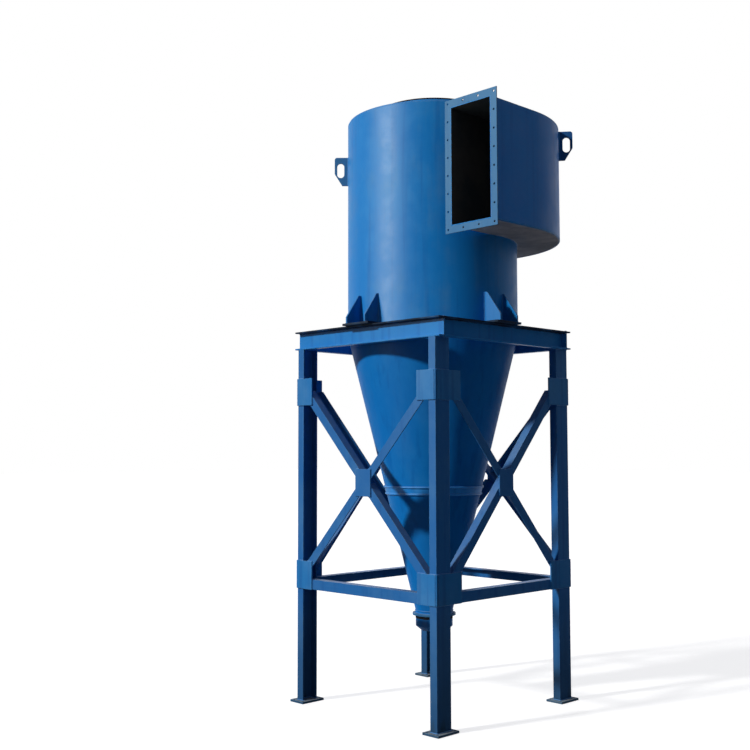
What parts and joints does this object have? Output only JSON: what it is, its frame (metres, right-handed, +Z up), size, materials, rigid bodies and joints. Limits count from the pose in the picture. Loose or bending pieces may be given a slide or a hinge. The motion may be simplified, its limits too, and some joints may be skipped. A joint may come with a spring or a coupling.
{
  "type": "cyclone separator",
  "caption": "Dust cyclone with a scroll inlet, conical bottom and flanged outlets, hung in a square braced steel stand with base plates.",
  "frame": {"origin": "floor level under the cyclone's axis, at the centre of the four base plates", "axes": "+Z up along the cyclone's axis, -Y the way the inlet flange faces, +X the side that the inlet duct is on"},
  "size_m": [1.4193, 1.2443, 3.449],
  "materials": {
    "shell": "satin blue enamel",
    "stand": "satin blue enamel",
    "flange": "satin blue enamel",
    "packing": "matt black"
  },
  "bodies": {
    "root": {"barrel": "shell", "barrel_lug": "shell", "base_plate_back_left": "stand", "base_plate_back_right": "stand", "base_plate_front_left": "stand", "base_plate_front_right": "stand", "beam_back": "stand", "beam_front": "stand", "beam_left": "stand", "beam_right": "stand", "brace_back": "stand", "brace_front": "stand", "brace_left": "stand", "brace_right": "stand", "bracket_back": "shell", "bracket_front": "shell", "bracket_left": "shell", "bracket_right": "shell", "cone_band": "shell", "cone_lower": "shell", "cone_neck": "shell", "cone_upper": "shell", "duct_inner_wall": "shell", "dust_flange": "flange", "dust_spigot": "shell", "gas_flange": "shell", "gas_gasket": "packing", "gas_pipe": "shell", "inlet_flange": "flange", "leg_back_left": "stand", "leg_back_right": "stand", "leg_front_left": "stand", "leg_front_right": "stand", "lower_plates_back_left": "stand", "lower_plates_back_right": "stand", "lower_plates_front_left": "stand", "lower_plates_front_right": "stand", "packing_ring": "packing", "roof": "shell", "scroll_floor": "shell", "scroll_lid": "shell", "scroll_lug": "shell", "scroll_wall": "shell", "split_brace_back": "stand", "split_brace_front": "stand", "split_brace_left": "stand", "split_brace_right": "stand", "tie_back": "stand", "tie_front": "stand", "tie_left": "stand", "tie_right": "stand", "upper_plates_back_left": "stand", "upper_plates_back_right": "stand", "upper_plates_front_left": "stand", "upper_plates_front_right": "stand"}
  },
  "joints": []
}
